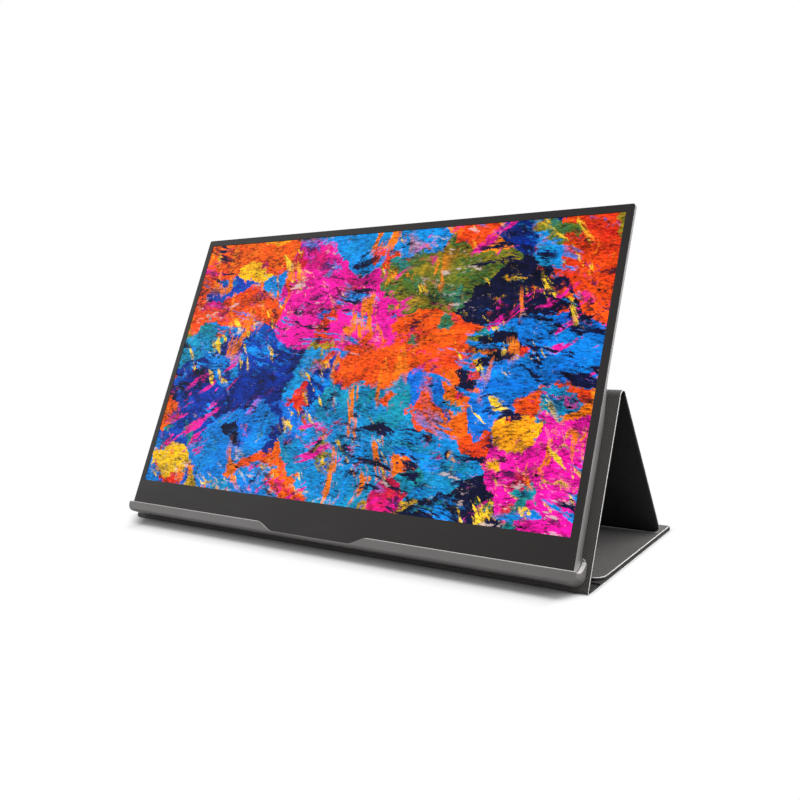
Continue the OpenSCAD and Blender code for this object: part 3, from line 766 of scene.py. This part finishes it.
# the tray: painted highlights on its rubbed edges and on the top of its lip
TRAY = MouldedPlastic("grey_tray_plastic", (0.124, 0.118, 0.115), 0.42, gloss=0.3,
                      edge=0.0007, edge_rub_and_highlight=0.6, painted_top_highlight=1.0)
BEZEL = MouldedPlastic("black_bezel", (0.0205, 0.0183, 0.0177), 0.42, grain=0.00022,
                       relief=0.000008, gloss=0.12, edge_rub_and_highlight=0.2)
BLACK_PLASTIC = MouldedPlastic("black_plastic", (0.018, 0.018, 0.019), 0.45)
SHELL = BlastedAluminium("blasted_aluminium", (0.40, 0.395, 0.39), 0.42)
STEEL = SheetMetal("plated_steel", (0.55, 0.55, 0.56), 0.32)
BOARD_GREEN = CircuitLacquer("green_circuit_board", (0.015, 0.10, 0.045), 0.35)
PICTURE = LitPicture("lit_picture", BLACK)
OPTICS = PlainSheet("white_optical_film", (0.82, 0.84, 0.86), 0.3, speck=0.002,
                    relief=0.000005)
FOAM = PlainSheet("black_foam", (0.02, 0.02, 0.021), 0.9, speck=0.0003, relief=0.0001)
CARD = PlainSheet("grey_board", (0.27, 0.26, 0.24), 0.9, speck=0.0008, relief=0.00006)
RIBBON = PlainSheet("amber_ribbon", (0.42, 0.18, 0.04), 0.35, speck=0.0004, relief=0.00002)
HEAT_PAD = PlainSheet("heat_pad", (0.32, 0.27, 0.40), 0.8, speck=0.0005, relief=0.00004)
GLASS_EDGE = PlainSheet("display_glass", (0.03, 0.032, 0.036), 0.2, speck=0.002,
                        relief=0.000004)

CAD_FINISHES: dict[Finish, tuple[str, ...]] = {
    BEZEL: ("front_bezel",),
    PICTURE: ("display_film",),
    GLASS_EDGE: ("lcd_cell",),
    OPTICS: ("film_stack", "light_guide", "led_bar"),
    STEEL: ("lcd_tray", "board_screws", "usb_c_ports", "mini_hdmi_port", "strut_magnets",
            "foot_plate", "closing_magnets"),
    BOARD_GREEN: ("driver_board", "main_board", "key_board"),
    RIBBON: ("panel_ribbon",),
    HEAT_PAD: ("heat_pad",),
    BLACK_PLASTIC: ("main_chips", "audio_jack", "port_strip", "power_key", "menu_rocker",
                    "speaker_left", "speaker_right"),
    FOAM: ("bezel_tape", "insulating_sheet", "mounting_pads", "tray_adhesive"),
    SHELL: ("back_shell",),
    TRAY: ("cradle_tray",),
    CARD: ("rear_panel_board", "strut_board", "spine_board", "lower_flap_board",
           "upper_flap_board"),
}


@dataclass
class Wardrobe:
    """Builds each finish once and hands it out."""

    made: dict[Finish, bpy.types.Material] = field(default_factory=dict)

    def get(self, finish: Finish) -> bpy.types.Material:
        """Gives the material of a finish, which is built on first use.

        Args:
            finish: the finish.

        Returns:
            Its material.
        """
        if finish not in self.made:
            self.made[finish] = finish.build()
        return self.made[finish]

    def dress(self, obj: bpy.types.Object, finish: Finish) -> None:
        """Gives an object its one material."""
        obj.data.materials.clear()
        obj.data.materials.append(self.get(finish))

    def cover_materials(self) -> list[bpy.types.Material]:
        """The cover's materials in the order of its layers."""
        return [self.get(finish) for finish in (LEATHER, LINING, PALE_RIM_AND_HIGHLIGHT)]


# ---------------- frames and meshes


@dataclass(frozen=True)
class Place:
    """A flat frame of the cover: X along the fold, V up the panel, N out of its lining."""

    origin: Point3
    angle: float
    lining_down: bool = False

    def matrix(self) -> Matrix:
        """Gives the frame as a matrix from its own coordinates to the world's.

        Returns:
            The matrix.
        """
        a = math.radians(self.angle)
        up = Vector((0.0, math.cos(a), math.sin(a)))
        out = Vector((0.0, -math.sin(a), math.cos(a)))
        across = Vector((1.0, 0.0, 0.0))
        if self.lining_down:
            out, across = -out, -across
        turn = Matrix((across, up, out)).transposed().to_4x4()
        return Matrix.Translation(Vector(self.origin)) @ turn


def measure(node: str, place: Place) -> tuple[Vector, Vector]:
    """Measures a CAD node in a frame.

    Args:
        node: the node's name.
        place: the frame.

    Returns:
        Its lowest and highest corners, in the frame's own coordinates.
    """
    back = place.matrix().inverted()
    points = [back @ v.co for v in bpy.data.objects[node].data.vertices]
    lows = [min(p[i] for p in points) for i in range(3)]
    highs = [max(p[i] for p in points) for i in range(3)]
    return Vector(lows), Vector(highs)


def rounded_outline(half: float, low: float, high: float, r_low: float, r_high: float,
                    inset: float) -> list[Point2]:
    """Walks anticlockwise round a rectangle with round corners.

    Args:
        half: half its width.
        low: its lower edge.
        high: its upper edge.
        r_low: radius of the lower corners.
        r_high: radius of the upper corners.
        inset: how far the outline shrinks inwards.

    Returns:
        The outline's points.
    """
    spots = ((half - r_low, low + r_low, r_low, -90),
             (half - r_high, high - r_high, r_high, 0),
             (r_high - half, high - r_high, r_high, 90),
             (r_low - half, low + r_low, r_low, 180))
    points = []
    for x, y, radius, start in spots:
        r = max(radius - inset, LEAST_RADIUS)
        for i in range(CORNER_STEPS + 1):
            a = math.radians(start + 90 * i / CORNER_STEPS)
            points.append((x + r * math.cos(a), y + r * math.sin(a)))
    return points


@dataclass
class MeshMaker:
    """Collects points, faces, slots and flat cloth coordinates of one piece."""

    points: list[Point3] = field(default_factory=list)
    faces: list[tuple[int, ...]] = field(default_factory=list)
    slots: list[int] = field(default_factory=list)
    cloth: list[Point2] = field(default_factory=list)

    def ring(self, points: Iterable[Point3], cloth: Iterable[Point2]) -> range:
        """Adds a ring of points.

        Args:
            points: the ring's points.
            cloth: each point's place on the flat cloth.

        Returns:
            The numbers of its points.
        """
        start = len(self.points)
        self.points.extend(points)
        self.cloth.extend(cloth)
        return range(start, len(self.points))

    def bridge(self, a: range, b: range, slot: Layer, closed: bool = True) -> None:
        """Joins two rings of the same length with quads.

        Args:
            a: one ring.
            b: the other ring.
            slot: the quads' material.
            closed: whether the last points are joined to the first.
        """
        n = len(a)
        for i in range(n if closed else n - 1):
            j = (i + 1) % n
            self.faces.append((a[i], a[j], b[j], b[i]))
            self.slots.append(slot.value)

    def cap(self, ring: Sequence[int], slot: Layer) -> None:
        """Closes a ring with one face."""
        self.faces.append(tuple(ring))
        self.slots.append(slot.value)

    def repaint(self, y: float, slot: Layer) -> None:
        """Gives all faces that stand wholly at one Y another material.

        Args:
            y: where the faces stand.
            slot: their new material.
        """
        for i, face in enumerate(self.faces):
            if all(abs(self.points[p][1] - y) < SAME_PLACE for p in face):
                self.slots[i] = slot.value

    def make(self, name: str, materials: Sequence[bpy.types.Material]) -> bpy.types.Object:
        """Turns the collected faces into an object.

        Args:
            name: the piece's name.
            materials: one for each slot, there before the faces are given theirs.

        Returns:
            The object, linked into the scene.
        """
        mesh = bpy.data.meshes.new(name)
        mesh.from_pydata(self.points, [], self.faces)
        if mesh.validate():
            raise ValueError(f"{name} has faulty faces")
        for material in materials:
            mesh.materials.append(material)
        for polygon, slot in zip(mesh.polygons, self.slots):
            polygon.material_index = slot
            polygon.use_smooth = True
        uv = mesh.uv_layers.new(name=CLOTH_MAP)
        for loop in mesh.loops:
            uv.data[loop.index].uv = self.cloth[loop.vertex_index]
        mesh.set_sharp_from_angle(angle=math.radians(CRISP_ANGLE))
        obj = bpy.data.objects.new(name, mesh)
        bpy.context.scene.collection.objects.link(obj)
        return obj


# ---------------- the cover


@dataclass(frozen=True)
class Sheet:
    """A kind of sheet of a panel: its names, a slot name and its layers."""

    kind: str
    node: str
    slot: str
    rim: Layer
    face: Layer


LEATHER_SHEET = Sheet("leather", "skin", "leather", Layer.LEATHER, Layer.LEATHER)
LINING_SHEET = Sheet("cloth", "lining", "lining", Layer.RIM_AND_HIGHLIGHT, Layer.LINING)


@dataclass
class CoverPanel:
    """One stiff panel of the cover: leatherette turned round a board, and lining on top."""

    name: str
    body: Body
    place: Place
    corner_low: float = 0.0006
    corner_high: float = 0.0006
    turn_in: float = 0.00042
    free_low: bool = False
    free_high: bool = False

    def build(self, wardrobe: Wardrobe) -> None:
        """Makes the panel's two sheets in the places of their CAD nodes.

        Args:
            wardrobe: where finishes come from.
        """
        low, high = measure(f"{self.name}_skin", self.place)
        l_low, l_high = measure(f"{self.name}_lining", self.place)
        half = high.x
        self._sheet(wardrobe, LEATHER_SHEET, (half, low.y, high.y),
                    [(0.0, l_low.z), (0.0, low.z + self.turn_in), (HEM, low.z + HEM),
                     (self.turn_in, low.z)])
        self._sheet(wardrobe, LINING_SHEET, (half, l_low.y, l_high.y),
                    [(0.0, l_low.z), (0.0, l_high.z - HEM), (HEM, l_high.z)])

    def _sheet(self, wardrobe: Wardrobe, sheet: Sheet, limits: Point3,
               profile: Sequence[Point2]) -> None:
        """Makes one sheet with soft edges, crisp at the ends that go on in a fold.

        Args:
            wardrobe: where finishes come from.
            sheet: the kind of sheet.
            limits: half its width, its lower end and its upper end.
            profile: inset and height of each ring, from the inside out.
        """
        maker = MeshMaker()
        half, low, high = limits
        lining = sheet.face is Layer.LINING
        rings = []
        for inset, height in profile:
            line = rounded_outline(half, low - inset * (not self.free_low),
                                   high + inset * (not self.free_high),
                                   self.corner_low, self.corner_high, inset)
            rings.append(maker.ring([(x, y, height) for x, y in line], line))
        maker.cap(rings[0][::-1] if lining else rings[0], sheet.face)
        for a, b in zip(rings, rings[1:]):
            maker.bridge(*((a, b) if lining else (b, a)), slot=sheet.rim)
        for end, free in ((low, self.free_low), (high, self.free_high)):
            if not free:
                maker.repaint(end, sheet.face)
        maker.cap(rings[-1] if lining else rings[-1][::-1], sheet.face)
        name = f"{self.name}_{sheet.kind}"
        obj = maker.make(name, wardrobe.cover_materials())
        obj.matrix_world = self.place.matrix()
        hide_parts(f"{self.name}_{sheet.node}")
        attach(obj, self.body.value)
        log.info("%s rides %s", name, self.body.value)


@dataclass
class CoverFold:
    """A bent strip of leatherette and lining between two panels."""

    name: str
    node: str
    bodies: tuple[Body, Body]
    centre: Point2
    radius: float
    start: float
    end: float
    half: float
    straight: float = 0.0
    steps: int = 14

    def build(self, wardrobe: Wardrobe) -> None:
        """Makes the strip along its arc.

        Args:
            wardrobe: where finishes come from.
        """
        maker = MeshMaker()
        depths = (0.0, HEM, SHEET, 2 * SHEET)
        rims = (Layer.RIM_AND_HIGHLIGHT, Layer.RIM_AND_HIGHLIGHT, Layer.LEATHER)
        strips = [self._strip(maker, depth) for depth in depths]
        maker.bridge(*strips[0], Layer.LINING, closed=False)
        maker.bridge(*strips[-1][::-1], Layer.LEATHER, closed=False)
        for upper, lower, rim in zip(strips, strips[1:], rims):
            maker.bridge(lower[0], upper[0], rim, closed=False)
            maker.bridge(upper[1], lower[1], rim, closed=False)
        for end in (0, self.steps):
            loop = [strip[0][end] for strip in strips]
            loop += [strip[1][end] for strip in reversed(strips)]
            maker.cap(loop if end else loop[::-1], Layer.LEATHER)
        obj = maker.make(self.name, wardrobe.cover_materials())
        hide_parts(self.node)
        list(self._point(0.0, SHEET))
        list(self._point(1.0, SHEET))
        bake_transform(obj)
        log.info("%s bends between %s and %s", self.name, *(b.value for b in self.bodies))

    def _strip(self, maker: MeshMaker, depth: float) -> tuple[range, range]:
        """Adds the two long edges of the strip at one depth.

        Args:
            maker: the mesh that gets them.
            depth: how deep below the lining's face.

        Returns:
            The points of the left and of the right edge.
        """
        length = self.radius * math.radians(abs(self.end - self.start)) + self.straight
        shares = [i / self.steps for i in range(self.steps + 1)]
        inset = 0.0 if depth else HEM
        left, right = (
            maker.ring([(x, *self._point(share, depth)) for share in shares],
                       [(x, length * share) for share in shares])
            for x in (inset - self.half, self.half - inset))
        return left, right

    def _point(self, share: float, depth: float) -> Point2:
        """Finds a point of the strip.

        Args:
            share: how far along the strip, from 0 to 1.
            depth: how deep below the lining's face.

        Returns:
            Its Y and Z.
        """
        if self.straight:
            y, z = self.centre
            return (y + self.straight * share, z + depth)
        a = math.radians(self.start + (self.end - self.start) * share)
        r = self.radius - depth
        return (self.centre[0] + r * math.cos(a), self.centre[1] + r * math.sin(a))


@dataclass
class FoldingCover:
    """The whole cover: five panels and the four folds between them."""

    fold_y: float = -0.075018
    lean: float = 63.0
    strut_down: float = -59.3139
    ridge: Point2 = (-0.0197472, 0.0981214)
    ridge_radius: float = 0.0047
    base_radius: float = 0.00185
    base_tangent: float = 0.003019
    base_top: float = 0.0037
    foot_corner: float = 0.005
    flap_corner: float = 0.008

    def build(self, wardrobe: Wardrobe) -> None:
        """Makes every panel and fold.

        Args:
            wardrobe: where finishes come from.
        """
        rear = Place((0.0, self.fold_y, 0.0), self.lean)
        down = math.radians(self.strut_down)
        strut = Place((0.0, self.ridge[0] - self.ridge_radius * math.sin(down),
                       self.ridge[1] + self.ridge_radius * math.cos(down)), self.strut_down)
        under = Place((0.0, self.fold_y, 0.0), 0.0, lining_down=True)
        over = Place((0.0, self.fold_y, self.base_top), 0.0)
        for panel in (CoverPanel("rear_panel", Body.SCREEN, rear),
                      CoverPanel("strut", Body.STRUT, strut, free_high=True,
                                 corner_high=self.foot_corner),
                      CoverPanel("spine", Body.SPINE, under),
                      CoverPanel("lower_flap", Body.LOWER, under),
                      CoverPanel("upper_flap", Body.UPPER, over, free_low=True,
                                 corner_low=self.flap_corner)):
            panel.build(wardrobe)
        self._folds(wardrobe, under)

    def _folds(self, wardrobe: Wardrobe, under: Place) -> None:
        """Makes the four folds between the panels that are measured from the CAD.

        Args:
            wardrobe: where finishes come from.
            under: the frame of the spine and the lower flap.
        """
        spine = measure("spine_skin", under)[1]
        lower_low, lower_high = measure("lower_flap_skin", under)
        half = spine.x
        stack = self.base_top / 2
        folds = (
            CoverFold("ridge_strap", "ridge_fold", (Body.SCREEN, Body.STRUT), self.ridge,
                      self.ridge_radius, 90 + self.lean, 90 + self.strut_down, half),
            CoverFold("base_strap", "base_fold", (Body.SCREEN, Body.SPINE),
                      (self.fold_y + self.base_tangent, self.base_radius), self.base_radius,
                      90 + self.lean, 270, half),
            CoverFold("spine_strap", "spine_fold", (Body.SPINE, Body.LOWER),
                      (self.fold_y + spine.y, 0.0), 0.0, 0, 0, half,
                      straight=lower_low.y - spine.y),
            CoverFold("rear_strap", "rear_fold", (Body.LOWER, Body.UPPER),
                      (self.fold_y + lower_high.y, stack), stack, -90, 90, half))
        for fold in folds:
            fold.build(wardrobe)


# ---------------- hard parts


@dataclass
class HardParts:
    """The housing, the tray and everything inside, which keep their CAD shape."""

    finishes: Mapping[Finish, tuple[str, ...]]

    def dress(self, wardrobe: Wardrobe) -> None:
        """Gives each CAD node its finish.

        Args:
            wardrobe: where finishes come from.
        """
        for finish, nodes in self.finishes.items():
            for node in nodes:
                wardrobe.dress(bpy.data.objects[node], finish)
                log.info("%s wears %s", node, finish.name)


# ---------------- studio


@dataclass(frozen=True)
class Lamp:
    """A square soft lamp."""

    name: str
    spot: Point3
    size: float
    watts: float

    def hang(self, target: Point3) -> None:
        """Hangs the lamp and aims it.

        Args:
            target: the point that it looks at.
        """
        data = bpy.data.lights.new(self.name, "AREA")
        data.shape, data.size, data.energy = "SQUARE", self.size, self.watts
        lamp = bpy.data.objects.new(self.name, data)
        aim = (Vector(target) - Vector(self.spot)).to_track_quat("-Z", "Y")
        lamp.matrix_world = Matrix.Translation(self.spot) @ aim.to_matrix().to_4x4()
        bpy.context.scene.collection.objects.link(lamp)


LAMPS = (Lamp("key", (-1.15, -0.95, 0.95), 1.1, 10.5),
         Lamp("right", (1.4, 0.1, 0.75), 0.8, 13.0),
         Lamp("top", (0.75, 0.35, 1.4), 1.0, 26.0),
         Lamp("back", (-0.6, 1.4, 0.9), 1.0, 4.0))


@dataclass
class Studio:
    """Camera, lamps, floor and world.

    The floor keeps the object's real shadow on a tone painted darker, a painted shade, in a
    zone round
    the base that is widest in front: the tight_ factors say how many times narrower its other
    sides are, and the corner_ sizes how far from each end its front limit draws in.
    """

    spot: Point3 = (0.364573, -0.495989, 0.171963)
    azimuth: float = 35.170
    elevation: float = 7.903
    roll: float = -2.813
    lens: float = 40.003
    sensor: float = 36.0
    clip: Point2 = (0.01, 50.0)
    lamp_target: Point3 = (0.0, 0.0, 0.08)
    floor_size: float = 6.0
    floor_tone: float = 0.30
    shadow_zone_tone: float = 0.48
    base_x: Point2 = (-0.182, 0.182)
    base_y: Point2 = (-0.075, 0.0597)
    corner_left: float = 0.017
    corner_right: float = 0.014
    corner_slope: float = 1.5
    tight_behind: float = 6.0
    tight_left: float = 2.0
    tight_right: float = 12.0
    fade_middle: float = 0.01736
    fade_width: float = 0.02128
    room: float = 0.45
    room_tone: Colour = (0.97, 0.98, 1.0)

    def build(self) -> None:
        """Sets up the camera, the lamps, the floor and the world."""
        self._camera()
        for lamp in LAMPS:
            lamp.hang(self.lamp_target)
        self._floor()
        self._world()
        bpy.context.scene.view_settings.view_transform = "Standard"

    def _camera(self) -> None:
        """Makes the camera."""
        data = bpy.data.cameras.new("camera")
        data.lens, data.sensor_width = self.lens, self.sensor
        data.clip_start, data.clip_end = self.clip
        camera = bpy.data.objects.new("camera", data)
        a, e = math.radians(self.azimuth), math.radians(self.elevation)
        forward = Vector((-math.sin(a) * math.cos(e), math.cos(a) * math.cos(e), -math.sin(e)))
        turn = forward.to_track_quat("-Z", "Y").to_matrix()
        camera.matrix_world = (Matrix.Translation(self.spot) @ turn.to_4x4()
                               @ Matrix.Rotation(math.radians(self.roll), 4, "Z"))
        bpy.context.scene.collection.objects.link(camera)
        bpy.context.scene.camera = camera

    def _floor(self) -> None:
        """Lays a floor that keeps the object's shadow, painted darker round the base as
        painted shade, and is white elsewhere.
        """
        s = self.floor_size / 2
        mesh = bpy.data.meshes.new("floor")
        mesh.from_pydata([(-s, -s, 0), (s, -s, 0), (s, s, 0), (-s, s, 0)], [], [(0, 1, 2, 3)])
        floor = bpy.data.objects.new("floor", mesh)
        bpy.context.scene.collection.objects.link(floor)
        g = Graph.of_material("studio_floor")
        clear = self._outside(g).above(self.fade_middle, self.fade_width)
        # pale: the zone's darker floor, a painted shade that the real shadow falls on
        lit, pale = (g.node("ShaderNodeBsdfDiffuse", None, {"Color": (tone,) * 3})
                     for tone in (self.floor_tone, self.shadow_zone_tone))
        glow = g.node("ShaderNodeEmission", None, {"Color": WHITE, "Strength": 1.0})
        shader = g.blend(self._shown_white(g), lit, g.blend(clear, pale, glow))
        mesh.materials.append(g.finish(shader))

    def _outside(self, g: Graph) -> Wire:
        """Measures how far a point of the floor lies outside the base.

        Args:
            g: the floor's graph.

        Returns:
            The wire of the distance, stretched by each side's factor.
        """
        at = g.place()
        x, y = g.part(at, "X"), g.part(at, "Y")
        (left, right), (front, behind) = self.base_x, self.base_y
        inward = g.highest((x - right + self.corner_right) * self.corner_slope,
                           0 - x + left + self.corner_left, 0.0)
        return g.highest(0 - y + front + inward, (y - behind) * self.tight_behind,
                         (0 - x + left) * self.tight_left, (x - right) * self.tight_right)

    def _shown_white(self, g: Graph) -> Wire:
        """Masks the rays that see the background: straight, in gloss and through glass.

        Args:
            g: the graph that gets the nodes.

        Returns:
            The wire of the mask.
        """
        return g.highest(*(g.node("ShaderNodeLightPath", out=f"Is {kind} Ray")
                           for kind in ("Camera", "Glossy", "Transmission")))

    def _world(self) -> None:
        """Lights the room evenly and shows white behind the object."""
        g = Graph(bpy.data.worlds.new("room"), "ShaderNodeOutputWorld")
        even, white = (g.node("ShaderNodeBackground", None, {"Color": tone, "Strength": x})
                       for tone, x in ((self.room_tone, self.room), (WHITE, 1.0)))
        bpy.context.scene.world = g.finish(g.blend(self._shown_white(g), even, white))


def main() -> None:
    """Builds the studio and the monitor."""
    logging.basicConfig(level=logging.INFO, format="%(name)s: %(message)s")
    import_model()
    Studio().build()
    wardrobe = Wardrobe()
    HardParts(CAD_FINISHES).dress(wardrobe)
    FoldingCover().build(wardrobe)
    log.info("%d finishes made", len(wardrobe.made))


if __name__ == "__main__":
    main()
